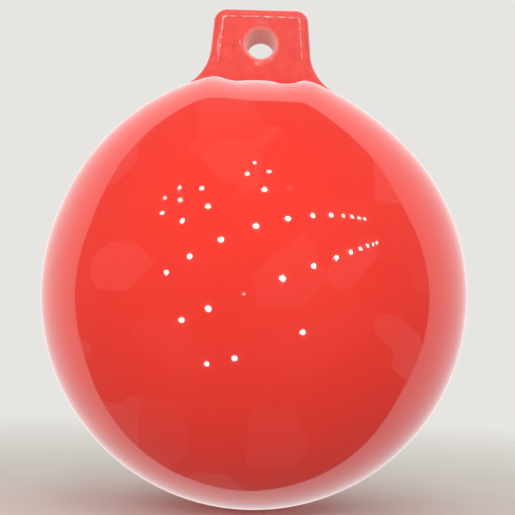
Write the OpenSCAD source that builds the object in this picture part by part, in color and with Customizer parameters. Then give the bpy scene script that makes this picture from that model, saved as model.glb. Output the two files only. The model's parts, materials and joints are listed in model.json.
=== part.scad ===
// Inflatable ball buoy with a moulded rope eye at its crown and an air valve at its foot.
// The origin is the centre of the rope eye's bore. The bore runs along Y, and the ball hangs
// below it on the Z axis.

/* [Ball] */
// Outer diameter of the inflated ball
ball_d = 400; // [300:5:600]
// Thickness of the moulded skin
skin_t = 3.5; // [2.5:0.1:6]

/* [Rope eye] */
// Height of the bore's centre above the ball's top
eye_rise = 40; // [34:0.5:52]
// Height of solid above the bore's centre
eye_head = 35.5; // [30:0.5:50]
// Width of the eye at the height of its bore
eye_w = 95.5; // [76:0.5:120]
// Thickness of the eye, front to back
eye_t = 47; // [40:1:72]
// Lean of each side edge from the vertical, in degrees
eye_taper = 4.6; // [0:0.1:8]
// Radius of the two top corners, seen from the front
eye_corner_r = 11.5; // [9:0.5:16]
// Radius of the long edges round the front and back faces
eye_edge_r = 8; // [5:0.5:9]
// Diameter of the bore that the rope passes through
bore_d = 27; // [20:0.5:32]
// Radius of the bore's two rims
bore_rim_r = 5.5; // [3:0.5:7]

/* [Root of the eye] */
// Radius that carries each side edge out on to the ball
side_fillet_r = 46; // [25:1:50]
// Height above the ball at which the left side fillet ends
left_fillet_h = 11.4; // [6:0.2:16]
// Height above the ball at which the right side fillet ends
right_fillet_h = 8.4; // [6:0.2:16]
// Radius between each face and the ball
face_fillet_r = 8; // [5:1:18]
// Height of the ball's left shoulder, beside the eye
left_shoulder_h = 9.6; // [4:0.2:12]
// Height of the ball's right shoulder, beside the eye
right_shoulder_h = 7.8; // [4:0.2:12]
// Lean from the eye's axis at which the left shoulder has run out, in degrees
left_shoulder_angle = 68; // [44:1:72]
// Lean from the eye's axis at which the right shoulder has run out, in degrees
right_shoulder_angle = 45; // [40:1:72]
// Rise of the ball between the two shoulders, in front of and behind the eye
collar_h = 2.3; // [1:0.1:3.5]
// Angle, to the front and to the back, over which a shoulder keeps its height
shoulder_depth_angle = 16; // [10:1:20]
// Diameter of the plug under the eye that is welded into the ball
plug_d = 44; // [30:1:48]
// Depth of that plug below the ball's top
plug_depth = 26; // [18:1:34]
// Solid round and below the plug, inside the ball
plug_wall = 8; // [5:0.5:12]

/* [Air valve] */
// Diameter of the valve body's flange
flange_d = 38; // [32:1:48]
// Thickness of the flange
flange_t = 6; // [5.5:0.5:9]
// Depth of the flange's face below the ball's foot
flange_sink = 1.2; // [1:0.1:3]
// Outer diameter of the valve body's barrel
barrel_d = 24; // [20:0.5:28]
// Length of the barrel above the flange
barrel_len = 15; // [12:1:22]
// Solid round the valve body, inside the ball
boss_wall = 7; // [5:0.5:12]
// Diameter of the screw's threaded shank
shank_d = 12; // [10:0.5:14]
// Length of the shank above the washer
shank_len = 15; // [12:0.5:18]
// Diameter of the screw's head
head_d = 17.6; // [16:0.2:20]
// Thickness of the screw's head
head_t = 3.2; // [3:0.1:4]
// Width of the slot across the head
slot_w = 2; // [1.5:0.1:3]
// Depth of the slot
slot_depth = 1.7; // [1:0.1:2]
// Thickness of the sealing washer
washer_t = 1.5; // [1:0.1:2]

/* [Fits] */
// Gap of a welded seat
weld_gap = 0.05; // [0.02:0.01:0.2]
// Radial clearance of the screw in its thread
thread_gap = 0.05; // [0.02:0.01:0.1]
// Radial clearance round the screw's head and inside the washer
head_gap = 0.4; // [0.3:0.1:0.8]

/* [Hidden] */
$fn = 96;
BALL_FN = 256;
eps = 0.01;

skin_colour = "#F44438";
eye_colour = "#F85A50";
valve_colour = "#E9E6DD";
washer_colour = "#26282A";
screw_colour = "#DAD7CE";

ball_r = ball_d / 2;
// The ball's centre is this far below the bore, and the forms of the eye are drawn from it.
bore_z = ball_r + eye_rise;
eye_top_z = bore_z + eye_head;

// Shoulders of the ball --------------------------------------------------------------------

// A shoulder climbs from the collar between these two leans from the eye's axis, and falls
// away beyond its crest: in a straight line on the left, and in a hollow on the right.
CLIMB_START_ANGLE = 6.5;
CLIMB_END_ANGLE = 12.5;
CREST_ANGLE = 15;
LEFT_FALL_POWER = 1.1;
RIGHT_FALL_POWER = 2;
// Angle beyond the shoulder's depth in which it fades into the ball
DEPTH_FADE_ANGLE = 22;
// Where a shoulder is lower than this it turns down into the ball, so that it ends on a
// clean line
EDGE_RISE = 1.2;
EDGE_RATIO = 4;
CLIMB_STEPS = 6;
FALL_STEPS = 12;
DEPTH_STEPS = 8;

function smooth(t) = let (u = min(1, max(0, t))) u * u * (3 - 2 * u);

// Height of the skin above a true ball, by the lean to the side and the depth to front or back
function shoulder_rise(lean, depth) =
    let (height = lean < 0 ? left_shoulder_h : right_shoulder_h,
         end = lean < 0 ? left_shoulder_angle : right_shoulder_angle,
         fall = lean < 0 ? LEFT_FALL_POWER : RIGHT_FALL_POWER,
         a = abs(lean),
         share = (a - CLIMB_START_ANGLE) / (CLIMB_END_ANGLE - CLIMB_START_ANGLE),
         climb = collar_h + (height - collar_h) * smooth(share),
         run = a <= CREST_ANGLE ? 1 : pow(max(0, (end - a) / (end - CREST_ANGLE)), fall))
    climb * run * (1 - smooth((abs(depth) - shoulder_depth_angle) / DEPTH_FADE_ANGLE));

// Point at a distance from the ball's centre, by lean and depth
function ball_point(r, lean, depth) =
    r * [sin(lean) * cos(depth), sin(depth), cos(lean) * cos(depth)];

// Leans of the grid on one side, outwards from where the shoulder starts to climb
function side_leans(end) = concat(
    [for (i = [0 : CLIMB_STEPS - 1])
        CLIMB_START_ANGLE + (CREST_ANGLE - CLIMB_START_ANGLE) * i / CLIMB_STEPS],
    [for (i = [0 : FALL_STEPS]) CREST_ANGLE + (end - CREST_ANGLE) * i / FALL_STEPS]);

// Both shoulders and the collar, as one patch that reaches a little way into the ball
module shoulders() {
    left = side_leans(left_shoulder_angle);
    rows = concat([for (i = [len(left) - 1 : -1 : 0]) -left[i]], [0],
                  side_leans(right_shoulder_angle));
    depths = [for (j = [-DEPTH_STEPS : DEPTH_STEPS])
        (shoulder_depth_angle + DEPTH_FADE_ANGLE) * j / DEPTH_STEPS];
    n = len(depths);
    m = len(rows);
    top = [for (lean = rows, depth = depths)
        let (rise = shoulder_rise(lean, depth))
        ball_point(ball_r + rise - EDGE_RATIO * max(0, EDGE_RISE - rise), lean, depth)];
    base = [for (lean = rows, depth = depths)
        ball_point(ball_r - 2 * EDGE_RATIO * EDGE_RISE, lean, depth)];
    quads = [for (i = [0 : m - 2], j = [0 : n - 2])
        [i * n + j, i * n + j + 1, (i + 1) * n + j + 1, (i + 1) * n + j]];
    rim = concat(
        [for (j = [0 : n - 1]) j],
        [for (i = [1 : m - 1]) i * n + n - 1],
        [for (j = [n - 2 : -1 : 0]) (m - 1) * n + j],
        [for (i = [m - 2 : -1 : 1]) i * n]);
    k = len(rim);
    s = m * n;
    polyhedron(points = concat(top, base), faces = concat(
        [for (q = quads) each [[q[0], q[1], q[2]], [q[0], q[2], q[3]]]],
        [for (q = quads) each [[s + q[0], s + q[2], s + q[1]], [s + q[0], s + q[3], s + q[2]]]],
        [for (i = [0 : k - 1])
            let (a = rim[i], b = rim[(i + 1) % k])
            each [[a, s + a, s + b], [a, s + b, b]]]), convexity = 4);
}

// Section loft of the eye ------------------------------------------------------------------

CORNER_STEPS = 8;
FILLET_STEPS = 11;
TOP_STEPS = 6;

// Straight side edge: half width of the eye at a height above the ball's centre
function side_x(z) = eye_w / 2 - (z - bore_z) * tan(eye_taper);

// Centre, [x, z], of the fillet that touches a side edge and ends at a height above the ball
function side_fillet(fillet_h) =
    let (along = eye_w / 2 * cos(eye_taper) + bore_z * sin(eye_taper) + side_fillet_r,
         across = sqrt(pow(ball_r + fillet_h + side_fillet_r, 2) - along * along))
    [along * cos(eye_taper) - across * sin(eye_taper),
     along * sin(eye_taper) + across * cos(eye_taper)];

// Outward slope of the toe, where the side fillet's foot runs down into the shoulder
TOE_RATIO = 0.5;

// Reach of one side of the eye from the axis at a height: side edge, then fillet, and a
// sloped toe that ends inside the ball
function reach(z, fillet_h) =
    let (c = side_fillet(fillet_h), foot = c * (1 - side_fillet_r / norm(c)))
    z >= c[1] - side_fillet_r * sin(eye_taper) ? side_x(z)
    : z >= foot[1] ? c[0] - sqrt(pow(side_fillet_r, 2) - pow(c[1] - z, 2))
    : foot[0] + TOE_RATIO * (foot[1] - z);

function left_x(z) = reach(z, left_fillet_h);
function right_x(z) = reach(z, right_fillet_h);

// Face fillet: a circle that touches a face and the ball
face_cy = eye_t / 2 + face_fillet_r;
face_cz = sqrt(pow(ball_r + face_fillet_r, 2) - face_cy * face_cy);
face_foot_z = face_cz * (1 - face_fillet_r / norm([face_cy, face_cz]));

// The toes end this far below the ball's top, which is inside it also at their corners
TOE_DEPTH = 24;
skirt_z = ball_r - TOE_DEPTH;

// Half thickness of the eye at a height, down to the foot of the face fillet
function face_y(z) =
    z >= face_cz ? eye_t / 2
    : face_cy - sqrt(pow(face_fillet_r, 2) - pow(face_cz - max(z, face_foot_z), 2));

// What a rounded top edge of radius r takes off at a height
function top_loss(z, r) = r - sqrt(r * r - pow(max(0, z - (eye_top_z - r)), 2));

// Heights of the sections, from inside the ball to the top
fillet_c = side_fillet(max(left_fillet_h, right_fillet_h));
high_angle = atan2(fillet_c[0], fillet_c[1]);
sweep_angle = 90 - eye_taper - high_angle;
heights = concat(
    [skirt_z],
    [for (i = [0 : FILLET_STEPS])
        fillet_c[1] - side_fillet_r * cos(high_angle + sweep_angle * i / FILLET_STEPS)],
    [for (i = [0 : TOP_STEPS])
        eye_top_z - eye_corner_r * (1 - sin(90 * i / TOP_STEPS))]
);

// Corner radius of a section: that of the upright edges above, and rounder on the shoulders
root_top_z = fillet_c[1] - side_fillet_r * sin(eye_taper);
function corner_r(z) =
    let (share = min(1, max(0, (root_top_z - z) / (root_top_z - face_foot_z))))
    eye_edge_r * (1 + share) - 0.6 * top_loss(z, eye_edge_r);

// One section: a rectangle with round corners, anticlockwise from +X
function section(z) =
    let (half_t = face_y(z) - top_loss(z, eye_edge_r),
         right = right_x(z) - top_loss(z, eye_corner_r),
         left = left_x(z) - top_loss(z, eye_corner_r),
         r = corner_r(z))
    [
        for (q = [0 : 3], i = [0 : CORNER_STEPS])
            let (angle = 90 * (q + i / CORNER_STEPS),
                 cx = (q == 0 || q == 3) ? right - r : r - left,
                 cy = q < 2 ? half_t - r : r - half_t)
            [cx + r * cos(angle), cy + r * sin(angle), z]
    ];

// Skin over a stack of like sections
module loft(sections) {
    n = len(sections[0]);
    m = len(sections);
    points = [for (s = sections) each s];
    walls = [
        for (j = [0 : m - 2], i = [0 : n - 1])
            let (k = (i + 1) % n)
            each [[j * n + i, (j + 1) * n + i, (j + 1) * n + k],
                  [j * n + i, (j + 1) * n + k, j * n + k]]
    ];
    floor_face = [[for (i = [0 : n - 1]) i]];
    roof_face = [[for (i = [n - 1 : -1 : 0]) (m - 1) * n + i]];
    polyhedron(points = points, faces = concat(walls, floor_face, roof_face), convexity = 4);
}

// Parts ------------------------------------------------------------------------------------

valve_face_z = -ball_r + flange_sink;
barrel_base_z = valve_face_z + flange_t;
barrel_top_z = barrel_base_z + barrel_len;
seat_z = valve_face_z + head_t + washer_t + head_gap;
plug_z = ball_r - plug_depth;

// Everything below is drawn from the ball's centre, and then hung under the bore.
module hang() {
    translate([0, 0, -bore_z]) children();
}

// Upright round bar between two heights
module bar(d, z0, z1) {
    translate([0, 0, z0]) cylinder(d = d, h = z1 - z0);
}

// Hollow ball, thickened inside at the crown for the eye's plug and at the foot for the valve
module ball_skin() {
    color(skin_colour) hang() difference() {
        sphere(r = ball_r, $fn = BALL_FN);
        difference() {
            sphere(r = ball_r - skin_t, $fn = BALL_FN);
            bar(plug_d + 2 * plug_wall, plug_z - plug_wall, ball_r);
            bar(flange_d + 2 * boss_wall, -ball_r, barrel_top_z);
        }
        bar(plug_d + 2 * weld_gap, plug_z, ball_r + eps);
        bar(flange_d + 2 * weld_gap, -ball_r - eps, barrel_base_z);
        bar(barrel_d + 2 * weld_gap, -ball_r, barrel_top_z + eps);
    }
}

// Bell mouth: what is cut from a face to round the rim of the bore
module rim_cut() {
    rotate_extrude() difference() {
        translate([0, -eps]) square([bore_d / 2 + bore_rim_r, bore_rim_r + eps]);
        translate([bore_d / 2 + bore_rim_r, bore_rim_r]) circle(r = bore_rim_r);
    }
}

// Rope eye: lofted head on a plug, bored through, with its underside fitted to the ball
module rope_eye() {
    color(eye_colour) hang() difference() {
        union() {
            difference() {
                union() {
                    loft([for (z = heights) section(z)]);
                    shoulders();
                }
                sphere(r = ball_r + weld_gap, $fn = BALL_FN);
            }
            bar(plug_d, plug_z, bore_z - bore_d / 2 - bore_rim_r);
        }
        translate([0, 0, bore_z]) rotate([90, 0, 0]) {
            cylinder(d = bore_d, h = eye_t + 2, center = true);
            for (side = [0, 1]) mirror([0, 0, side]) translate([0, 0, -eye_t / 2]) rim_cut();
        }
    }
}

// Valve body: flanged barrel with a recess for the screw's head and a bore for its thread
module valve_body() {
    color(valve_colour) hang() difference() {
        union() {
            bar(flange_d, valve_face_z, barrel_base_z);
            bar(barrel_d, barrel_base_z - eps, barrel_top_z);
        }
        bar(head_d + 2 * head_gap, valve_face_z - eps, seat_z);
        bar(shank_d + 2 * thread_gap, valve_face_z, barrel_top_z + eps);
    }
}

// Sealing washer between the screw's head and the seat in the valve body
module valve_washer() {
    color(washer_colour) hang() difference() {
        bar(head_d, seat_z - washer_t, seat_z);
        bar(shank_d + 2 * head_gap, seat_z - washer_t - eps, seat_z + eps);
    }
}

// Slotted screw that closes the valve
module valve_screw() {
    head_top_z = seat_z - washer_t;
    color(screw_colour) hang() difference() {
        union() {
            bar(head_d, head_top_z - head_t, head_top_z);
            bar(shank_d, head_top_z - eps, head_top_z + shank_len);
        }
        translate([-head_d, -slot_w / 2, head_top_z - head_t - eps])
            cube([2 * head_d, slot_w, slot_depth + eps]);
    }
}

ball_skin();
rope_eye();
valve_body();
valve_washer();
valve_screw();
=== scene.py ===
"""Inflatable ball buoy: a moulded vinyl ball with its rope eye, and a screw valve in its foot."""

import json
import math

import bpy
import numpy as np
from bpy.props import FloatProperty, PointerProperty, StringProperty
from mathutils import Matrix, Vector


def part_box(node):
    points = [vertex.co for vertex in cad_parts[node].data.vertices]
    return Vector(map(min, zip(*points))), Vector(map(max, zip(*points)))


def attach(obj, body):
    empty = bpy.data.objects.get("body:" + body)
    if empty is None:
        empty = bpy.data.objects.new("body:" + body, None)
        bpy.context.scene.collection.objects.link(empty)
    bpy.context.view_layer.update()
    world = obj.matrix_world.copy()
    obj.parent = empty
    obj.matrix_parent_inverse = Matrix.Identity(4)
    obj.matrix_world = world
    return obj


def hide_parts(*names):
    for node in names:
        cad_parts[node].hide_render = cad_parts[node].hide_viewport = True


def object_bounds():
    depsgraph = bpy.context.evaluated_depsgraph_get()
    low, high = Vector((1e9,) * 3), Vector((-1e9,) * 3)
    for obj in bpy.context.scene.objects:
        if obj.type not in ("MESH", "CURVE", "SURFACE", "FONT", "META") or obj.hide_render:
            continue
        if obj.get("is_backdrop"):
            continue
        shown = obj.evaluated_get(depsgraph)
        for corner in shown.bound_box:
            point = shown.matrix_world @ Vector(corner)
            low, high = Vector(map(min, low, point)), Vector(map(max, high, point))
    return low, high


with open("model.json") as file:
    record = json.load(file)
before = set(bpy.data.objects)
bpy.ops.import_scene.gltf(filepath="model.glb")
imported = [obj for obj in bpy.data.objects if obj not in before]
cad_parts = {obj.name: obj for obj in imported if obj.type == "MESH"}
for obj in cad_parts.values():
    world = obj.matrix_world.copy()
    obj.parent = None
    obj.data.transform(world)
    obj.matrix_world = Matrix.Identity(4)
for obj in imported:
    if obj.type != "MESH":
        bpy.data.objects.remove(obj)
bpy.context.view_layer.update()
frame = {"record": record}

bl_info = {
    "name": "Ball buoy",
    "version": (1, 0, 0),
    "blender": (4, 5, 0),
    "location": "View3D > Sidebar > Buoy",
    "description": "Moulded vinyl ball buoy with a rope eye and a screw valve",
    "category": "Add Mesh",
}

MM = 0.001

# Sizes that the frame gives. The origin is the centre of the rope eye's bore.
SKIN_LOW, SKIN_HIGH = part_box("ball_skin")
BODY_LOW, BODY_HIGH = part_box("valve_body")
WASHER_LOW, WASHER_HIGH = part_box("valve_washer")
SCREW_LOW, SCREW_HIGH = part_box("valve_screw")
EYE_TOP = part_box("rope_eye")[1].z
BORE = next(m for m in frame["record"]["mounts"] if m["name"] == "rope_eye")

BALL_R = round((SKIN_HIGH.x - SKIN_LOW.x) / 2, 4)
FLANGE_R = (BODY_HIGH.x - BODY_LOW.x) / 2
BALL_Z = SKIN_LOW.z + math.sqrt(BALL_R ** 2 - FLANGE_R ** 2)


# Sizes and colours ------------------------------------------------------------------------


class BuoyBodySettings(bpy.types.PropertyGroup):
    """Sizes of the moulded ball and its rope eye"""

    eye_width: FloatProperty(
        name="Eye width", description="Width of the eye at the height of its bore",
        default=95.5 * MM, unit="LENGTH")
    eye_thickness: FloatProperty(
        name="Eye thickness", description="Thickness of the eye, front to back",
        default=47 * MM, unit="LENGTH")
    eye_taper: FloatProperty(
        name="Eye taper", description="Lean of each side edge from the vertical",
        default=math.radians(4.6), subtype="ANGLE")
    corner_radius: FloatProperty(
        name="Corner radius", description="Radius of the eye's two top corners",
        default=11.5 * MM, unit="LENGTH")
    edge_radius: FloatProperty(
        name="Edge radius", description="Radius of the edges round the eye's two faces",
        default=8 * MM, unit="LENGTH")
    rim_radius: FloatProperty(
        name="Bore rim radius", description="Radius of the bore's two rims",
        default=5.5 * MM, unit="LENGTH")
    side_fillet: FloatProperty(
        name="Side fillet", description="Radius that carries each side edge on to the ball",
        default=46 * MM, unit="LENGTH")
    left_fillet: FloatProperty(
        name="Left fillet end",
        description="Height above the ball where the left side fillet ends",
        default=11.4 * MM, unit="LENGTH")
    right_fillet: FloatProperty(
        name="Right fillet end",
        description="Height above the ball where the right side fillet ends",
        default=8.4 * MM, unit="LENGTH")
    left_shoulder: FloatProperty(
        name="Left shoulder", description="Height of the left shoulder above the ball",
        default=9.6 * MM, unit="LENGTH")
    right_shoulder: FloatProperty(
        name="Right shoulder", description="Height of the right shoulder above the ball",
        default=7.8 * MM, unit="LENGTH")
    left_end: FloatProperty(
        name="Left shoulder end",
        description="Angle from the eye where the left shoulder has run out",
        default=math.radians(68), subtype="ANGLE")
    right_end: FloatProperty(
        name="Right shoulder end",
        description="Angle from the eye where the right shoulder has run out",
        default=math.radians(45), subtype="ANGLE")
    collar: FloatProperty(
        name="Collar", description="Rise of the ball at the foot of the eye's two faces",
        default=2.3 * MM, unit="LENGTH")


class BuoyFinishSettings(bpy.types.PropertyGroup):
    """Colours, as sRGB hex values"""

    vinyl: StringProperty(
        name="Vinyl", description="Red-orange of the moulded vinyl", default="#F93C2F")
    vinyl_deep: StringProperty(
        name="Deep vinyl", description="Vinyl where the pigment lies thicker", default="#F23428")
    vinyl_eye: StringProperty(
        name="Eye vinyl", description="Vinyl of the solid eye, which scatters more light",
        default="#FB635B")
    vinyl_root: StringProperty(
        name="Mottled vinyl", description="Darker mottling of the solid eye", default="#E4463F")
    # Painted highlight: a pale tint painted over the bore's wall and its rounded rim
    painted_bore_highlight: StringProperty(
        name="Painted bore highlight", description="Pale tint painted as a highlight on the bore's wall and rim", default="#F0A29A")
    # Painted highlight: a pale line painted along the ridge of the bead on the eye's faces
    painted_bead_highlight: StringProperty(
        name="Painted bead highlight", description="Painted highlight on the ridge of the bead", default="#FFC8BE")
    nylon: StringProperty(name="Nylon", description="Off-white of the valve", default="#E4E0D4")
    rubber: StringProperty(name="Rubber", description="Black of the washer", default="#1C1D1F")
    floor: StringProperty(name="Floor", description="Pale floor", default="#DAD8D3")


# Materials --------------------------------------------------------------------------------


def linear(hex_colour):
    """Linear RGBA of an sRGB hex colour."""
    parts = [int(hex_colour[i:i + 2], 16) / 255 for i in (1, 3, 5)]
    return [c / 12.92 if c <= 0.04045 else ((c + 0.055) / 1.055) ** 2.4 for c in parts] + [1.0]


def add_node(tree, kind, inputs=None, **settings):
    """Adds a node, sets its properties, and fills its inputs with values or links."""
    made = tree.nodes.new(kind)
    for key, value in settings.items():
        setattr(made, key, value)
    for key, value in (inputs or {}).items():
        if isinstance(value, bpy.types.NodeSocket):
            tree.links.new(value, made.inputs[key])
        else:
            made.inputs[key].default_value = value
    return made


def new_material(name):
    """An empty node material and its tree."""
    material = bpy.data.materials.new(name)
    material.use_nodes = True
    material.node_tree.nodes.clear()
    return material, material.node_tree


def vinyl_pigment(tree, place, height, finish):
    """Colour of the vinyl: clouded on the thin skin, paler and mottled on the solid eye."""
    # Clouds of about 70 mm, where the pigment lies thicker
    clouds = add_node(tree, "ShaderNodeTexNoise", {"Vector": place, "Scale": 14.0, "Detail": 3.0})
    skin = add_node(tree, "ShaderNodeMix", {
        0: clouds.outputs["Fac"], 6: linear(finish.vinyl), 7: linear(finish.vinyl_deep)},
        data_type="RGBA")
    # Mottling of about 9 mm, where the thick eye cooled slowly
    mottle = add_node(tree, "ShaderNodeTexNoise", {"Vector": place, "Scale": 110.0, "Detail": 4.0})
    eye = add_node(tree, "ShaderNodeMix", {
        0: mottle.outputs["Fac"], 6: linear(finish.vinyl_eye), 7: linear(finish.vinyl_root)},
        data_type="RGBA")
    # One gives way to the other over the eye's foot
    up_eye = add_node(tree, "ShaderNodeMapRange", {
        0: height, 1: -42 * MM, 2: -34 * MM, 3: 0.0, 4: 1.0})
    return add_node(tree, "ShaderNodeMix", {
        0: up_eye.outputs[0], 6: skin.outputs[2], 7: eye.outputs[2]}, data_type="RGBA").outputs[2]


def moulded_relief(tree, place, off_centre):
    """Normal of the bare moulding: slow waves, orange peel and the parting line."""
    # Waves of about 45 mm, left by the skin's shrinkage
    waves = add_node(tree, "ShaderNodeTexNoise", {"Vector": place, "Scale": 22.0, "Detail": 1.0})
    wavy = add_node(tree, "ShaderNodeBump", {
        "Strength": 1.0, "Distance": 0.12 * MM, "Height": waves.outputs["Fac"]})
    # Orange peel of about 6 mm
    peel = add_node(tree, "ShaderNodeTexNoise", {"Vector": place, "Scale": 160.0, "Detail": 1.0})
    peeled = add_node(tree, "ShaderNodeBump", {
        "Strength": 1.0, "Distance": 0.006 * MM, "Height": peel.outputs["Fac"],
        "Normal": wavy.outputs[0]})
    # Parting line of the two mould halves: a ridge 1.4 mm wide on the plane of the eye
    off_plane = add_node(tree, "ShaderNodeMath", {0: off_centre}, operation="ABSOLUTE")
    ridge = add_node(tree, "ShaderNodeMapRange", {
        0: off_plane.outputs[0], 1: 0.0, 2: 0.7 * MM, 3: 1.0, 4: 0.0},
        interpolation_type="SMOOTHSTEP")
    return add_node(tree, "ShaderNodeBump", {
        "Strength": 1.0, "Distance": 0.12 * MM, "Height": ridge.outputs[0],
        "Normal": peeled.outputs[0]}).outputs[0]


def insert_bead(tree, axes, uneven, sizes):
    """Height of the bead on the eye's two faces, where the mould's insert sat: 0 to 1.4."""
    inset, half_bead, corner = 9 * MM, 1.6 * MM, 6 * MM
    # How far inside the face's outline a point lies: from its tapered sides or from its top
    aside = add_node(tree, "ShaderNodeMath", {0: axes["X"]}, operation="ABSOLUTE").outputs[0]
    aside = add_node(tree, "ShaderNodeMath", {
        0: axes["Z"], 1: math.tan(sizes.eye_taper), 2: aside}, operation="MULTIPLY_ADD").outputs[0]
    from_side = add_node(tree, "ShaderNodeMath", {
        0: sizes.eye_width / 2, 1: aside}, operation="SUBTRACT").outputs[0]
    from_top = add_node(tree, "ShaderNodeMath", {
        0: EYE_TOP, 1: axes["Z"]}, operation="SUBTRACT").outputs[0]
    inside = add_node(tree, "ShaderNodeMath", {
        0: from_side, 1: from_top, 2: corner}, operation="SMOOTH_MIN").outputs[0]
    # The bead follows the outline
    off_bead = add_node(tree, "ShaderNodeMath", {0: inside, 1: inset}, operation="SUBTRACT")
    off_bead = add_node(tree, "ShaderNodeMath", {0: off_bead.outputs[0]}, operation="ABSOLUTE")
    bead = add_node(tree, "ShaderNodeMapRange", {
        0: off_bead.outputs[0], 1: 0.0, 2: half_bead, 3: 1.0, 4: 0.0},
        interpolation_type="SMOOTHSTEP")
    bead = add_node(tree, "ShaderNodeMath", {0: bead.outputs[0], 1: uneven}, operation="MULTIPLY")
    # It runs out below the bore
    run_out = add_node(tree, "ShaderNodeMapRange", {
        0: axes["Z"], 1: -20 * MM, 2: -10 * MM, 3: 0.0, 4: 1.0})
    return add_node(tree, "ShaderNodeMath", {
        0: bead.outputs[0], 1: run_out.outputs[0]}, operation="MULTIPLY").outputs[0]


def cutter_rings(tree, radius, uneven):
    """Height of the rings that the cutter left round the bore: -1.4 to 1.4."""
    spacing = 1.6 * MM
    turns = add_node(tree, "ShaderNodeMath", {
        0: radius, 1: 2 * math.pi / spacing}, operation="MULTIPLY")
    rings = add_node(tree, "ShaderNodeMath", {0: turns.outputs[0]}, operation="SINE")
    near_bore = add_node(tree, "ShaderNodeMapRange", {
        0: radius, 1: 22 * MM, 2: 17 * MM, 3: 0.0, 4: 1.0})
    cut = add_node(tree, "ShaderNodeMath", {
        0: rings.outputs[0], 1: near_bore.outputs[0]}, operation="MULTIPLY").outputs[0]
    return add_node(tree, "ShaderNodeMath", {0: cut, 1: uneven}, operation="MULTIPLY").outputs[0]


def moulded_vinyl(finish, sizes):
    """Plasticised PVC, rotationally moulded against a polished steel shell.

    The skin is a clear gloss with almost no grain. What the eye reads as vinyl is the slow
    waviness of its reflections, a pigment that is a little uneven, a fine parting line, the
    bead on the faces of the rope eye with a painted highlight along its ridge, and the cutter's
    rings round its bore, whose wall and rim carry a pale painted highlight.
    """
    material, tree = new_material("moulded_vinyl")
    place = add_node(tree, "ShaderNodeTexCoord").outputs["Object"]
    axes = add_node(tree, "ShaderNodeSeparateXYZ", {0: place}).outputs
    flat = add_node(tree, "ShaderNodeCombineXYZ", {"X": axes["X"], "Z": axes["Z"]})
    radius = add_node(tree, "ShaderNodeVectorMath", {
        0: flat.outputs[0]}, operation="LENGTH").outputs["Value"]
    # The bead and the rings are uneven, in patches of 6 mm
    uneven = add_node(tree, "ShaderNodeTexNoise", {"Vector": place, "Scale": 170.0, "Detail": 1.0})
    uneven = add_node(tree, "ShaderNodeMapRange", {
        0: uneven.outputs["Fac"], 1: 0.3, 2: 0.7, 3: 0.3, 4: 1.4}).outputs[0]

    # A painted highlight: the ridge of the bead is painted pale, standing in for the lamps'
    # highlight along it
    colour = vinyl_pigment(tree, place, axes["Z"], finish)
    bead = insert_bead(tree, axes, uneven, sizes)
    highlight_share = add_node(tree, "ShaderNodeMath", {0: bead, 1: 3.0}, operation="POWER").outputs[0]
    highlight_share = add_node(tree, "ShaderNodeMath", {
        0: highlight_share, 1: 0.8}, operation="MULTIPLY", use_clamp=True).outputs[0]
    colour = add_node(tree, "ShaderNodeMix", {
        0: highlight_share, 6: colour, 7: linear(finish.painted_bead_highlight)}, data_type="RGBA").outputs[2]
    # The bore is cut, not moulded, so its wall is matt. Its wall and rim are tinted pale as a
    # painted highlight
    in_bore = add_node(tree, "ShaderNodeMapRange", {
        0: radius, 1: 14.5 * MM, 2: 18 * MM, 3: 1.0, 4: 0.0}).outputs[0]
    colour = add_node(tree, "ShaderNodeMix", {
        0: in_bore, 6: colour, 7: linear(finish.painted_bore_highlight)}, data_type="RGBA").outputs[2]
    matt = add_node(tree, "ShaderNodeMath", {0: in_bore, 1: 0.5}, operation="MULTIPLY").outputs[0]
    # Handling scuffs: specks of 2 mm that dull the gloss
    specks = add_node(tree, "ShaderNodeTexNoise", {"Vector": place, "Scale": 520.0, "Detail": 2.0})
    scuffed = add_node(tree, "ShaderNodeMapRange", {
        0: specks.outputs["Fac"], 1: 0.62, 2: 0.80, 3: 0.045, 4: 0.20})
    rough = add_node(tree, "ShaderNodeMath", {0: scuffed.outputs[0], 1: matt}, operation="MAXIMUM")

    # Relief, one on top of the other: the moulding's own, the bead and the cutter's rings
    beaded = add_node(tree, "ShaderNodeBump", {
        "Strength": 1.0, "Distance": 0.75 * MM, "Height": bead,
        "Normal": moulded_relief(tree, place, axes["Y"])})
    turned = add_node(tree, "ShaderNodeBump", {
        "Strength": 1.0, "Distance": 0.12 * MM, "Height": cutter_rings(tree, radius, uneven),
        "Normal": beaded.outputs[0]})

    shader = add_node(tree, "ShaderNodeBsdfPrincipled", {
        "Base Color": colour, "Roughness": rough.outputs[0], "IOR": 1.53,
        "Subsurface Weight": 0.08, "Subsurface Radius": (8.0, 2.0, 1.0),
        "Subsurface Scale": 1 * MM, "Normal": turned.outputs[0]})
    add_node(tree, "ShaderNodeOutputMaterial", {"Surface": shader.outputs[0]})
    return material


def moulded_nylon(finish):
    """Nylon 6, injection moulded: a satin, faintly grained off-white."""
    material, tree = new_material("moulded_nylon")
    place = add_node(tree, "ShaderNodeTexCoord").outputs["Object"]
    # Grain of about 1 mm, drawn coarser than the real one so that it shows
    grain = add_node(tree, "ShaderNodeTexNoise", {"Vector": place, "Scale": 900.0, "Detail": 2.0})
    rough = add_node(tree, "ShaderNodeMapRange", {0: grain.outputs["Fac"], 3: 0.32, 4: 0.46})
    bump = add_node(tree, "ShaderNodeBump", {
        "Strength": 0.5, "Distance": 0.02 * MM, "Height": grain.outputs["Fac"]})
    shader = add_node(tree, "ShaderNodeBsdfPrincipled", {
        "Base Color": linear(finish.nylon), "Roughness": rough.outputs[0], "IOR": 1.53,
        "Normal": bump.outputs[0]})
    add_node(tree, "ShaderNodeOutputMaterial", {"Surface": shader.outputs[0]})
    return material


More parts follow.
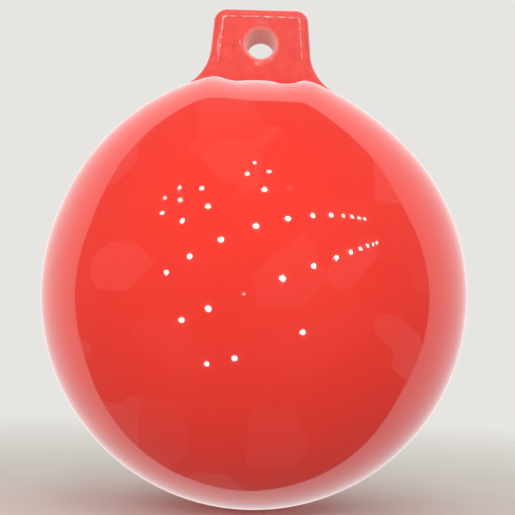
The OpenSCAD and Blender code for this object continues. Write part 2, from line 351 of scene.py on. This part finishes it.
def cut_rubber(finish):
    """Nitrile sheet, die cut: dull black with a fine talc bloom."""
    material, tree = new_material("cut_rubber")
    place = add_node(tree, "ShaderNodeTexCoord").outputs["Object"]
    # Bloom in patches of about 1.4 mm, drawn coarser than the real one so that it shows
    bloom = add_node(tree, "ShaderNodeTexNoise", {"Vector": place, "Scale": 700.0, "Detail": 4.0})
    rough = add_node(tree, "ShaderNodeMapRange", {0: bloom.outputs["Fac"], 3: 0.6, 4: 0.85})
    shader = add_node(tree, "ShaderNodeBsdfPrincipled", {
        "Base Color": linear(finish.rubber), "Roughness": rough.outputs[0]})
    add_node(tree, "ShaderNodeOutputMaterial", {"Surface": shader.outputs[0]})
    return material


# Modelling helpers ------------------------------------------------------------------------


def select_only(piece):
    """Makes piece the one selected and active object."""
    bpy.ops.object.select_all(action="DESELECT")
    piece.select_set(True)
    bpy.context.view_layer.objects.active = piece


def finish_piece(piece, name, material, body, slot, smooth_angle, *nodes):
    """Names a piece, settles its place into its mesh, and ties it to the frame."""
    select_only(piece)
    bpy.ops.object.transform_apply(location=True, rotation=True, scale=True)
    bpy.ops.object.shade_smooth_by_angle(angle=math.radians(smooth_angle))
    piece.name = name
    piece.data.name = name
    piece.data.materials.clear()
    piece.data.materials.append(material)
    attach(piece, body)
    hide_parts(*nodes)


def arc(centre, radius, start, end, steps):
    """Points on an arc in the plane of (across, along), angles in degrees."""
    turn = [math.radians(start + (end - start) * i / steps) for i in range(steps + 1)]
    return [(centre[0] + radius * math.cos(t), centre[1] + radius * math.sin(t)) for t in turn]


def turned_piece(profile, axis, steps=96):
    """Turns a profile of (radius, height) points about Y or Z into a closed piece."""
    along, across = {
        "Y": (Vector((0, 1, 0)), Vector((0, 0, 1))),
        "Z": (Vector((0, 0, 1)), Vector((1, 0, 0)))}[axis]
    points = [across * r + along * h for r, h in profile]
    bpy.ops.object.select_all(action="DESELECT")
    bpy.ops.mesh.primitive_plane_add(size=1 * MM)
    piece = bpy.context.object
    bpy.ops.object.mode_set(mode="EDIT")
    bpy.ops.mesh.select_all(action="SELECT")
    bpy.ops.mesh.merge(type="CENTER")
    bpy.ops.transform.translate(value=points[0])
    for start, end in zip(points, points[1:]):
        bpy.ops.mesh.extrude_vertices_move(TRANSFORM_OT_translate={"value": end - start})
    bpy.ops.mesh.select_all(action="SELECT")
    bpy.ops.mesh.spin(steps=steps, angle=2 * math.pi, center=(0, 0, 0), axis=along)
    bpy.ops.mesh.select_all(action="SELECT")
    bpy.ops.mesh.remove_doubles(threshold=0.002 * MM)
    bpy.ops.mesh.normals_make_consistent(inside=False)
    bpy.ops.object.mode_set(mode="OBJECT")
    return piece


def combine(piece, other, operation):
    """Adds the other's volume to the piece, or takes it out."""
    select_only(piece)
    change = piece.modifiers.new("combine", "BOOLEAN")
    change.operation = operation
    change.solver = "EXACT"
    change.object = other
    bpy.ops.object.modifier_apply(modifier=change.name)
    bpy.data.objects.remove(other)


# Moulded body -----------------------------------------------------------------------------


SEGMENTS = 288           # points in each ring of the ball and of the eye

# Outward slope of the eye's toes, where they run down into the shoulders, and the depth under
# the ball's surface that they end at
TOE_RATIO = 0.5
TOE_DEPTH = 8 * MM

# The shoulders, in degrees at the ball's centre. Lean is from the eye's axis towards a side,
# and depth is off the plane of the eye, towards the front or the back.
CREST = 15               # lean up to which a shoulder keeps its full height
CLIMB_MIDDLE = 9.5       # lean midway up the climb from collar to shoulder
CLIMB_WIDTH = 6          # length of that climb beside the eye
NEAR_EYE = 14            # depth within which climb and sag are as they are beside the eye
CLIMB_EASE = 0.65        # how much longer the climb gets for each degree of depth past that
LEFT_RUN = 1.1           # power by which a shoulder runs down from its crest to its end
RIGHT_RUN = 2.0
SAG = 5 * MM             # how far the collar sags where it meets the right shoulder
SAG_MIDDLE = 7.5         # lean of the sag's middle
SAG_SPREAD = 2.5         # lean over which it spreads
HOLLOW = 1.5 * MM        # how far the skin sinks where it runs in under the eye's faces


def smooth_step(t):
    """0 below 0, 1 above 1, and a smooth rise between."""
    t = np.clip(t, 0, 1)
    return t * t * (3 - 2 * t)


def fade(angle, start, width):
    """1 up to a start, 0 past a width from there, and a smooth fall between."""
    return 1 - smooth_step((angle - start) / width)


def rounded(a, b, radius):
    """Distance outside the edge where half spaces a and b meet, rounded to a radius."""
    p, q = a + radius, b + radius
    return np.hypot(np.maximum(p, 0), np.maximum(q, 0)) + np.minimum(np.maximum(p, q), 0) - radius


class BodyForm:
    """The form of the moulded body, drawn from the ball's centre."""

    def __init__(self, s):
        self.s = s
        self.bore_z = -BALL_Z
        self.top_z = EYE_TOP - BALL_Z
        self.sides = {side: self.side_fillet(height) for side, height in (
            (-1, s.left_fillet), (1, s.right_fillet))}
        self.root_top = self.sides[-1]["z"] - s.side_fillet * math.sin(s.eye_taper)

    def side_fillet(self, height):
        """Centre and foot of the fillet between a side edge and a shoulder."""
        s = self.s
        lean = s.eye_taper
        along = s.eye_width / 2 * math.cos(lean) + self.bore_z * math.sin(lean) + s.side_fillet
        across = math.sqrt((BALL_R + height + s.side_fillet) ** 2 - along ** 2)
        x = along * math.cos(lean) - across * math.sin(lean)
        z = along * math.sin(lean) + across * math.cos(lean)
        share = 1 - s.side_fillet / math.hypot(x, z)
        return {"x": x, "z": z, "foot_x": x * share, "foot_z": z * share}

    def reach(self, z, side):
        """How far the eye reaches to one side at a height: side edge, then fillet, then toe."""
        s, f = self.s, self.sides[side]
        edge = s.eye_width / 2 - (z - self.bore_z) * math.tan(s.eye_taper)
        bend = f["x"] - np.sqrt(np.maximum(s.side_fillet ** 2 - (f["z"] - z) ** 2, 0))
        inside = np.sqrt(np.maximum((BALL_R - TOE_DEPTH) ** 2 - z * z, 0))
        toe = np.minimum(f["foot_x"] + TOE_RATIO * (f["foot_z"] - z), inside)
        top = f["z"] - s.side_fillet * math.sin(s.eye_taper)
        return np.where(z >= top, edge, np.where(z >= f["foot_z"], bend, toe))

    def swell(self, x, y, z):
        """How far the skin stands above a true ball: a shoulder to each side of the eye."""
        s = self.s
        size = np.sqrt(x * x + y * y + z * z)
        lean = np.degrees(np.arctan2(np.abs(x), z))
        depth = np.degrees(np.arcsin(np.clip(np.abs(y) / size, 0, 1)))
        rise = 0
        for side, height, end, power, sag in (
                (-1, s.left_shoulder, s.left_end, LEFT_RUN, 0),
                (1, s.right_shoulder, s.right_end, RIGHT_RUN, SAG)):
            end = math.degrees(end)
            run = np.clip((end - lean) / (end - CREST), 0, 1) ** power
            # The climb from collar to shoulder is steep beside the eye and eases down the ball
            width = CLIMB_WIDTH + CLIMB_EASE * np.clip(depth - NEAR_EYE, 0, 20)
            climb = smooth_step((lean - CLIMB_MIDDLE) / width + 0.5)
            sag = sag * np.exp(-((lean - SAG_MIDDLE) / SAG_SPREAD) ** 2)
            sag = sag * fade(depth, NEAR_EYE, 10)
            here = s.collar + (height - s.collar) * climb - sag
            rise = np.where(np.sign(x) == side, here * np.where(lean > CREST, run, 1), rise)
        sunk = HOLLOW * fade(depth, 9, 6) * fade(lean, 10, 10)
        return rise * fade(depth, 12, 38) - sunk

    def outside_eye(self, x, y, z):
        """Distance of points outside the eye, negative inside."""
        s = self.s
        step = 0.01 * MM
        beside = 0
        for side in (-1, 1):
            reach = self.reach(z, side)
            slope = (self.reach(z + step, side) - reach) / step
            here = (np.abs(x) - reach) / np.sqrt(1 + slope ** 2)
            beside = np.where(np.sign(x) == side, here, beside)
        outline = rounded(beside, z - self.top_z, s.corner_radius)
        return rounded(outline, np.abs(y) - s.eye_thickness / 2, s.edge_radius)

    def eye_levels(self):
        """Heights of the eye's rings, from inside the ball to its top."""
        # They lie closest at its foot, where it meets the ball, and on its rounded corners
        inside, foot, neck = 176 * MM, 198 * MM, 212 * MM
        straight_rings, corner_rings = 8, 14
        root = list(np.linspace(inside, foot, 8, endpoint=False))
        root += list(np.arange(foot, neck, 1 * MM))
        root += list(np.arange(neck, self.root_top, 1.6 * MM))
        low = root[-1] + 2 * MM
        high = self.top_z - self.s.corner_radius
        straight = [low + (high - low) * i / straight_rings for i in range(straight_rings)]
        corner = [high + (self.top_z - high) * math.sin(math.pi / 2 * i / corner_rings)
                  for i in range(corner_rings)]
        return np.array(root + straight + corner)

    def azimuths(self, z):
        """Directions of an eye ring's points, close together on its rounded edges."""
        quarter = SEGMENTS // 4
        half, edge = self.s.eye_thickness / 2, self.s.edge_radius
        side_count, edge_count = 12, 24
        face_count = quarter - side_count - edge_count
        # Points of a quarter ring: (distance inside the side, distance from the eye's plane) on
        # the flat side and the rounded edge, and (None, share of the way in) on the face
        points = [(0.0, (half - edge) * i / side_count) for i in range(side_count)]
        for i in range(edge_count):
            turn = math.pi / 2 * i / edge_count
            points.append((edge - edge * math.cos(turn), half - edge + edge * math.sin(turn)))
        points += [(None, i / face_count) for i in range(face_count)]
        made = np.empty(SEGMENTS)
        for part, side in enumerate((1, -1, -1, 1)):
            width = float(self.reach(np.array(z), side))
            turns = []
            for inset, place in points:
                if inset is None:
                    turns.append(math.atan2(half, (width - edge) * (1 - place)))
                else:
                    turns.append(math.atan2(place, width - inset))
            start = part * quarter
            if part in (0, 2):
                made[start:start + quarter] = np.array(turns) + part * math.pi / 2
            else:
                # These two quarters run from a face to a side
                back = [math.pi / 2] + turns[:0:-1]
                made[start:start + quarter] = (part + 1) * math.pi / 2 - np.array(back)
        return made

    def eye_rings(self):
        """Points of the eye's rings: an array of rings by points by coordinates."""
        z = self.eye_levels()
        turn = np.array([self.azimuths(h) for h in z])
        low = np.zeros_like(turn)
        high = np.full_like(turn, BALL_R)
        tall = np.repeat(z[:, None], SEGMENTS, 1)
        # Each point is found by halving its range 40 times
        for _ in range(40):
            mid = (low + high) / 2
            out = self.outside_eye(mid * np.cos(turn), mid * np.sin(turn), tall) > 0
            high = np.where(out, mid, high)
            low = np.where(out, low, mid)
        return np.stack([high * np.cos(turn), high * np.sin(turn), tall], -1)

    def skin_rings(self):
        """Points of the ball's rings, from the lip of the valve's pocket to the crown."""
        lip = math.pi - math.asin((FLANGE_R + 1 * MM) / BALL_R)
        # The rings lie 0.6 degrees apart within 60 degrees of the crown, and wider apart below
        near, spacing = 60, 0.6
        polar = np.linspace(lip, math.radians(near), 46, endpoint=False)
        polar = np.append(polar, np.radians(np.arange(near, spacing / 2, -spacing)))[:, None]
        turn = np.arange(SEGMENTS) * 2 * math.pi / SEGMENTS
        spot = np.stack([np.sin(polar) * np.cos(turn), np.sin(polar) * np.sin(turn),
                         np.cos(polar) * np.ones(SEGMENTS)], -1)
        return spot * (BALL_R + self.swell(*np.moveaxis(spot, -1, 0)))[..., None]


def ringed_piece(rings, foot_z, top_z):
    """A closed piece through rings of points, between two poles on the ball's axis."""
    count = len(rings)
    bpy.ops.object.select_all(action="DESELECT")
    bpy.ops.mesh.primitive_uv_sphere_add(
        segments=SEGMENTS, ring_count=count + 1, radius=BALL_R, location=(0, 0, BALL_Z))
    piece = bpy.context.object
    # Each ring of a plain ball's mesh is drawn to its place, from the foot up
    for v in piece.data.vertices:
        across = math.hypot(v.co.x, v.co.y)
        ring = round((math.pi - math.atan2(across, v.co.z)) / math.pi * (count + 1))
        if ring == 0:
            v.co = (0, 0, foot_z)
        elif ring == count + 1:
            v.co = (0, 0, top_z)
        else:
            spot = round(math.atan2(v.co.y, v.co.x) / (2 * math.pi) * SEGMENTS) % SEGMENTS
            v.co = rings[ring - 1][spot]
    piece.data.update()
    bpy.ops.object.mode_set(mode="EDIT")
    bpy.ops.mesh.select_all(action="SELECT")
    bpy.ops.mesh.remove_doubles(threshold=0.02 * MM)
    bpy.ops.mesh.dissolve_degenerate(threshold=0.01 * MM)
    bpy.ops.mesh.normals_make_consistent(inside=False)
    bpy.ops.object.mode_set(mode="OBJECT")
    return piece


def pocket_rings(lip_ring):
    """Rings of the pocket that the valve's flange sits in, from its floor out to its lip."""
    turn = np.arctan2(lip_ring[:, 1], lip_ring[:, 0])
    # The floor stands 0.1 mm into the flange and the wall 0.12 mm clear of it
    floor_z = BODY_LOW.z - BALL_Z + 5.9 * MM
    wall = FLANGE_R + 0.12 * MM
    # The lip is rounded: 0.8 mm across and 0.6 mm high
    lip_z = lip_ring[0, 2] + 0.4 * MM
    lip_wide, lip_high = 0.8 * MM, 0.6 * MM
    rows = [(wall * 0.4, floor_z), (wall * 0.8, floor_z), (wall, floor_z), (wall, lip_z + 1 * MM)]
    rows += [(wall + lip_wide * (1 - math.cos(a)), lip_z + lip_high * (1 - math.sin(a)))
             for a in (0.3, 0.7, 1.1)]
    return [np.stack([r * np.cos(turn), r * np.sin(turn), np.full_like(turn, z)], -1)
            for r, z in rows]


def cap_rings(top_ring, top_z):
    """Rings that close the eye's flat top."""
    made = []
    for share in (0.985, 0.85, 0.6, 0.3):
        ring = top_ring * share
        ring[:, 2] = top_z
        made.append(ring)
    return made


class BUOY_OT_moulded_body(bpy.types.Operator):
    """Models the ball and its rope eye as one moulding"""

    bl_idname = "buoy.moulded_body"
    bl_label = "Moulded body"

    def execute(self, context):
        s = context.scene.buoy_body
        form = BodyForm(s)
        skin = form.skin_rings()
        pocket = pocket_rings(skin[0])
        body = ringed_piece(pocket + list(skin), pocket[0][0, 2], BALL_R)
        eye = form.eye_rings()
        eye = ringed_piece(list(eye) + cap_rings(eye[-1], form.top_z), eye[0][0, 2], form.top_z)
        combine(body, eye, "UNION")

        # The bore's cutter runs 10 mm past each face
        half = s.eye_thickness / 2
        bore_r = BORE["dims"]["r_mm"] * MM
        rim = s.rim_radius
        out = half + 10 * MM
        profile = [(0, -out), (bore_r + rim, -out)]
        profile += arc((bore_r + rim, -half + rim), rim, 270, 180, 12)
        profile += arc((bore_r + rim, half - rim), rim, 180, 90, 12)
        profile += [(bore_r + rim, out), (0, out)]
        combine(body, turned_piece(profile, "Y", 128), "DIFFERENCE")

        finish_piece(
            body, "moulded_body", moulded_vinyl(context.scene.buoy_finish, s), "buoy", "skin",
            40, "ball_skin", "rope_eye")
        # Its own image in its gloss is left out, so the collar stays pale beside the eye
        body.visible_glossy = False
        return {"FINISHED"}


# Valve ------------------------------------------------------------------------------------


class BUOY_OT_valve_body(bpy.types.Operator):
    """Models the flanged bush of the valve"""

    bl_idname = "buoy.valve_body"
    bl_label = "Valve body"

    def execute(self, context):
        face, back = BODY_LOW.z, BODY_HIGH.z
        recess_r = (SCREW_HIGH.x - SCREW_LOW.x) / 2 + 0.4 * MM
        seat = WASHER_HIGH.z
        barrel_r = 12 * MM
        flange_top = face + 6 * MM
        bore_r = 6.05 * MM
        edge, lead_in = 0.5 * MM, 0.3 * MM
        profile = [(bore_r, back), (bore_r, seat + lead_in), (bore_r + lead_in, seat)]
        profile += [(recess_r, seat), (recess_r, face + edge)]
        profile += arc((recess_r + edge, face + edge), edge, 180, 270, 4)
        profile += arc((FLANGE_R - edge, face + edge), edge, 270, 360, 4)
        profile += [(FLANGE_R, flange_top), (barrel_r, flange_top)]
        profile += [(barrel_r, back), (bore_r, back)]
        piece = turned_piece(profile, "Z")
        finish_piece(
            piece, "valve_bush", moulded_nylon(context.scene.buoy_finish), "buoy", "valve",
            30, "valve_body")
        return {"FINISHED"}


class BUOY_OT_valve_washer(bpy.types.Operator):
    """Models the sealing washer"""

    bl_idname = "buoy.valve_washer"
    bl_label = "Valve washer"

    def execute(self, context):
        outer = (WASHER_HIGH.x - WASHER_LOW.x) / 2
        inner = 6.4 * MM
        low, high = WASHER_LOW.z, WASHER_HIGH.z
        edge = 0.35 * MM
        profile = arc((outer - edge, low + edge), edge, 270, 360, 4)
        profile += arc((outer - edge, high - edge), edge, 0, 90, 4)
        profile += [(inner, high), (inner, low), (outer - edge, low)]
        piece = turned_piece(profile, "Z")
        finish_piece(
            piece, "sealing_washer", cut_rubber(context.scene.buoy_finish), "washer", "washer",
            30, "valve_washer")
        return {"FINISHED"}


class BUOY_OT_valve_screw(bpy.types.Operator):
    """Models the slotted, threaded screw that closes the valve"""

    bl_idname = "buoy.valve_screw"
    bl_label = "Valve screw"

    def execute(self, context):
        head_r = (SCREW_HIGH.x - SCREW_LOW.x) / 2
        low, high = SCREW_LOW.z, SCREW_HIGH.z
        head_top = WASHER_LOW.z
        shank_r, tip = 6 * MM, 1 * MM
        edge = 0.6 * MM
        pitch, depth = 2 * MM, 0.6 * MM
        slot_width, slot_depth = 2 * MM, 1.7 * MM
        root_r = shank_r - depth
        profile = [(0, low)] + arc((head_r - edge, low + edge), edge, 270, 360, 5)
        profile += [(head_r, head_top), (root_r, head_top)]
        rows = 60
        start, end = head_top + 0.8 * MM, high - 1.2 * MM
        profile += [(root_r, start + (end - start) * i / rows) for i in range(rows + 1)]
        profile += [(root_r - tip, high), (0, high)]
        piece = turned_piece(profile, "Z", 72)
        # The thread: a helix of ridges that fades at both ends
        for v in piece.data.vertices:
            radius = math.hypot(v.co.x, v.co.y)
            on_shank = start <= v.co.z <= end and radius >= shank_r - 1.05 * depth
            if not on_shank:
                continue
            turn = math.atan2(v.co.y, v.co.x) / (2 * math.pi)
            # Each ridge is flat over 0.27 of the pitch, with a flank of 0.23 on either side
            phase = (v.co.z / pitch + turn) % 1
            ridge = min(1, max(0, 1.6 - abs(phase - 0.5) * 4.4))
            run_out = min(1, (v.co.z - start) / pitch, (end - v.co.z) / pitch)
            v.co.xy *= 1 + depth * ridge * run_out / radius
        bpy.ops.object.select_all(action="DESELECT")
        # The slot's cutter lies half in the head, and is longer than the head is wide
        bpy.ops.mesh.primitive_cube_add(
            size=1, location=(0, 0, low), scale=(50 * MM, slot_width, 2 * slot_depth))
        slot = bpy.context.object
        select_only(slot)
        bpy.ops.object.transform_apply(scale=True)
        combine(piece, slot, "DIFFERENCE")
        finish_piece(
            piece, "valve_screw_plug", moulded_nylon(context.scene.buoy_finish), "screw", "screw",
            30, "valve_screw")
        return {"FINISHED"}


# Stage ------------------------------------------------------------------------------------


# The whole studio looks up at the buoy by this angle, so that its eye leans back
VIEW_TILT = math.radians(6)

# The camera's place from the ball's centre, in the tilted studio, and its roll
CAMERA_PLACE = (2.4 * MM, -4.8 * BALL_R, 35.7 * MM)
CAMERA_ROLL = math.radians(1.525)
CAMERA_LENS = 70.03

# The grid of lamps, in metres from the ball's centre in the tilted studio: the first lamp, and
# the steps to the next lamp of its row and to the next row
FIRST_LAMP = Vector((-0.24, -3.0, 0.13))
LAMP_STEP = Vector((0.96, 0.03, 0.42))
ROW_STEP = Vector((-0.70, 0.13, 1.47))
# Places of the lamps that are lit in each row, and the (row, place) of those that are dim
LAMP_ROWS = {
    -1: (-2, -1, 1), 0: range(-2, 9), 1: range(-2, 9),
    2: range(-1, 4), 3: (-2, -1, 0, 2, 3), 4: (-2, -1, 3)}
DIM_LAMPS = ((0, 0), (2, 1), (2, 3))
LAMP_POWER, DIM_POWER = 3.8, 0.2
LAMP_SIZE, HIGH_LAMP_SIZE, DIM_SIZE = 0.13, 0.17, 0.04


def table_region(tree, axes):
    """1 in the directions of the white table behind the buoy, and 0 in the others."""
    ahead = add_node(tree, "ShaderNodeMath", {
        0: axes["Y"], 1: 0.001}, operation="MAXIMUM").outputs[0]
    across = add_node(tree, "ShaderNodeMath", {
        0: axes["X"], 1: ahead}, operation="DIVIDE").outputs[0]
    above = add_node(tree, "ShaderNodeMath", {
        0: axes["Z"], 1: ahead}, operation="DIVIDE").outputs[0]
    # It reaches 4.2 to each side of its middle and 1.7 up and down, for each 1 that it lies
    # behind, and gets taller to the right
    to_right = add_node(tree, "ShaderNodeMath", {0: across, 1: 0.0}, operation="MAXIMUM")
    half_tall = add_node(tree, "ShaderNodeMath", {
        0: to_right.outputs[0], 1: 0.3, 2: 1.7}, operation="MULTIPLY_ADD").outputs[0]
    # Its corners are rounded, by the fifth power
    parts = []
    for place, middle, half in ((across, 0.5, 4.2), (above, -0.05, half_tall)):
        share = add_node(tree, "ShaderNodeMath", {0: place, 1: middle}, operation="SUBTRACT")
        share = add_node(tree, "ShaderNodeMath", {
            0: share.outputs[0], 1: half}, operation="DIVIDE")
        share = add_node(tree, "ShaderNodeMath", {0: share.outputs[0]}, operation="ABSOLUTE")
        parts.append(add_node(tree, "ShaderNodeMath", {
            0: share.outputs[0], 1: 5.0}, operation="POWER").outputs[0])
    total = add_node(tree, "ShaderNodeMath", {0: parts[0], 1: parts[1]}, operation="ADD")
    return add_node(tree, "ShaderNodeMath", {
        0: total.outputs[0], 1: 1.0}, operation="LESS_THAN").outputs[0]


def room_panes(tree, way):
    """Brightness of the dim room in front, with a few square-cut panes of pale grey."""
    halfway = add_node(tree, "ShaderNodeVectorMath", {0: way, 1: (0, -1, 0)}, operation="ADD")
    halfway = add_node(tree, "ShaderNodeVectorMath", {
        0: halfway.outputs[0]}, operation="NORMALIZE")
    flat = add_node(tree, "ShaderNodeSeparateXYZ", {0: halfway.outputs[0]}).outputs
    flat = add_node(tree, "ShaderNodeCombineXYZ", {0: flat["X"], 1: flat["Z"]}).outputs[0]
    panes = add_node(tree, "ShaderNodeTexVoronoi", {
        "Vector": flat, "Scale": 4.0, "Randomness": 0.8},
        distance="CHEBYCHEV", voronoi_dimensions="2D")
    grey = add_node(tree, "ShaderNodeSeparateColor", {0: panes.outputs["Color"]})
    return add_node(tree, "ShaderNodeMapRange", {
        0: grey.outputs[0], 1: 0.5, 2: 1.0, 3: 0.25, 4: 0.6}).outputs[0]


def light_studio(tree):
    """The studio: pale and even to the eye, with the table and the room seen in gloss only."""
    tree.nodes.clear()
    way = add_node(tree, "ShaderNodeTexCoord").outputs["Generated"]
    way = add_node(tree, "ShaderNodeVectorRotate", {
        "Vector": way, "Angle": -VIEW_TILT}, rotation_type="X_AXIS").outputs[0]
    axes = add_node(tree, "ShaderNodeSeparateXYZ", {0: way}).outputs
    level = add_node(tree, "ShaderNodeMix", {
        0: table_region(tree, axes), 2: room_panes(tree, way), 3: 1.15}, data_type="FLOAT")
    seen = add_node(tree, "ShaderNodeBackground", {
        "Color": (1, 1, 1, 1), "Strength": level.outputs[0]})
    # Soft light comes from above and the left, and less of it from below
    upper_left = add_node(tree, "ShaderNodeMath", {
        0: axes["X"], 1: -0.3, 2: axes["Z"]}, operation="MULTIPLY_ADD")
    height = add_node(tree, "ShaderNodeMapRange", {
        0: upper_left.outputs[0], 1: -0.6, 2: 0.1, 3: 0.26, 4: 0.72},
        interpolation_type="SMOOTHSTEP")
    soft = add_node(tree, "ShaderNodeBackground", {
        "Color": linear("#FFFDF9"), "Strength": height.outputs[0]})
    pale = add_node(tree, "ShaderNodeBackground", {"Color": linear("#E7E5E1"), "Strength": 1.0})
    path = add_node(tree, "ShaderNodeLightPath")
    both = add_node(tree, "ShaderNodeMixShader", {
        0: path.outputs["Is Glossy Ray"], 1: soft.outputs[0], 2: seen.outputs[0]})
    both = add_node(tree, "ShaderNodeMixShader", {
        0: path.outputs["Is Camera Ray"], 1: both.outputs[0], 2: pale.outputs[0]})
    add_node(tree, "ShaderNodeOutputWorld", {"Surface": both.outputs[0]})


def hang_lamps(centre, tilt):
    """A flat grid of small round lamps in front of the ball, some of them dim or out."""
    for row, places in LAMP_ROWS.items():
        for place in places:
            spot = tilt @ (FIRST_LAMP + LAMP_STEP * place + ROW_STEP * row)
            bpy.ops.object.light_add(type="AREA", location=centre + spot)
            lamp = bpy.context.object
            lamp.name = f"lamp_{row}_{place}"
            lamp.data.shape = "DISK"
            lamp.data.size = LAMP_SIZE if row < 2 else HIGH_LAMP_SIZE
            lamp.data.energy = LAMP_POWER
            if (row, place) in DIM_LAMPS:
                lamp.data.size = DIM_SIZE
                lamp.data.energy = DIM_POWER
            lamp.rotation_euler = (-spot).to_track_quat("-Z", "Y").to_euler()
            lamp.visible_camera = False


def floor_finish(finish):
    """Matt pale grey that runs out softly into the backdrop, and is clear from below."""
    material, tree = new_material("pale_floor")
    shader = add_node(tree, "ShaderNodeBsdfPrincipled", {
        "Base Color": linear(finish.floor), "Roughness": 0.75, "Specular IOR Level": 0.2})
    place = add_node(tree, "ShaderNodeTexCoord").outputs["Object"]
    away = add_node(tree, "ShaderNodeVectorMath", {0: place}, operation="LENGTH")
    # It runs out between 0.3 and 1.6 m from the buoy
    run_out = add_node(tree, "ShaderNodeMapRange", {
        0: away.outputs["Value"], 1: 0.3, 2: 1.6, 3: 0.0, 4: 1.0},
        interpolation_type="SMOOTHSTEP")
    # From below it is clear, to show the valve in the buoy's foot
    under = add_node(tree, "ShaderNodeNewGeometry").outputs["Backfacing"]
    share = add_node(tree, "ShaderNodeMath", {
        0: run_out.outputs[0], 1: under}, operation="MAXIMUM").outputs[0]
    clear = add_node(tree, "ShaderNodeBsdfTransparent")
    both = add_node(tree, "ShaderNodeMixShader", {
        0: share, 1: shader.outputs[0], 2: clear.outputs[0]})
    add_node(tree, "ShaderNodeOutputMaterial", {"Surface": both.outputs[0]})
    return material


class BUOY_OT_stage(bpy.types.Operator):
    """Sets the pale floor, the soft lights and the camera"""

    bl_idname = "buoy.stage"
    bl_label = "Stage"

    def execute(self, context):
        context.scene.view_settings.view_transform = "Standard"
        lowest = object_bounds()[0].z
        bpy.ops.mesh.primitive_plane_add(size=24, location=(0, 0, lowest))
        floor = bpy.context.object
        floor.name = "floor"
        floor.data.materials.append(floor_finish(context.scene.buoy_finish))
        floor.visible_glossy = False
        floor.visible_diffuse = False
        floor.visible_shadow = False
        floor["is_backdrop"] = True

        world = bpy.data.worlds.new("studio")
        context.scene.world = world
        world.use_nodes = True
        light_studio(world.node_tree)

        centre = Vector((0, 0, BALL_Z))
        tilt = Matrix.Rotation(VIEW_TILT, 3, "X")
        hang_lamps(centre, tilt)

        bpy.ops.object.camera_add()
        camera = bpy.context.object
        camera.name = "camera"
        camera.data.lens = CAMERA_LENS
        camera.matrix_world = (
            Matrix.Translation(centre) @ tilt.to_4x4() @ Matrix.Translation(CAMERA_PLACE)
            @ Matrix.Rotation(math.pi / 2, 4, "X") @ Matrix.Rotation(CAMERA_ROLL, 4, "Z"))
        context.scene.camera = camera
        return {"FINISHED"}


# Panel and registration -------------------------------------------------------------------


class BUOY_PT_panel(bpy.types.Panel):
    """Lists the pieces of the buoy"""

    bl_label = "Ball buoy"
    bl_idname = "BUOY_PT_panel"
    bl_space_type = "VIEW_3D"
    bl_region_type = "UI"
    bl_category = "Buoy"

    def draw(self, context):
        for group in (context.scene.buoy_body, context.scene.buoy_finish):
            box = self.layout.box()
            for name in group.__annotations__:
                box.prop(group, name)
        for operator in OPERATORS:
            self.layout.operator(operator.bl_idname)


OPERATORS = (
    BUOY_OT_moulded_body, BUOY_OT_valve_body, BUOY_OT_valve_washer, BUOY_OT_valve_screw,
    BUOY_OT_stage)
CLASSES = (BuoyBodySettings, BuoyFinishSettings) + OPERATORS + (BUOY_PT_panel,)


def register():
    for cls in CLASSES:
        bpy.utils.register_class(cls)
    bpy.types.Scene.buoy_body = PointerProperty(type=BuoyBodySettings)
    bpy.types.Scene.buoy_finish = PointerProperty(type=BuoyFinishSettings)


def unregister():
    del bpy.types.Scene.buoy_finish
    del bpy.types.Scene.buoy_body
    for cls in reversed(CLASSES):
        bpy.utils.unregister_class(cls)


def main():
    register()
    bpy.ops.buoy.moulded_body()
    bpy.ops.buoy.valve_body()
    bpy.ops.buoy.valve_washer()
    bpy.ops.buoy.valve_screw()
    bpy.ops.buoy.stage()


if __name__ == "__main__":
    main()
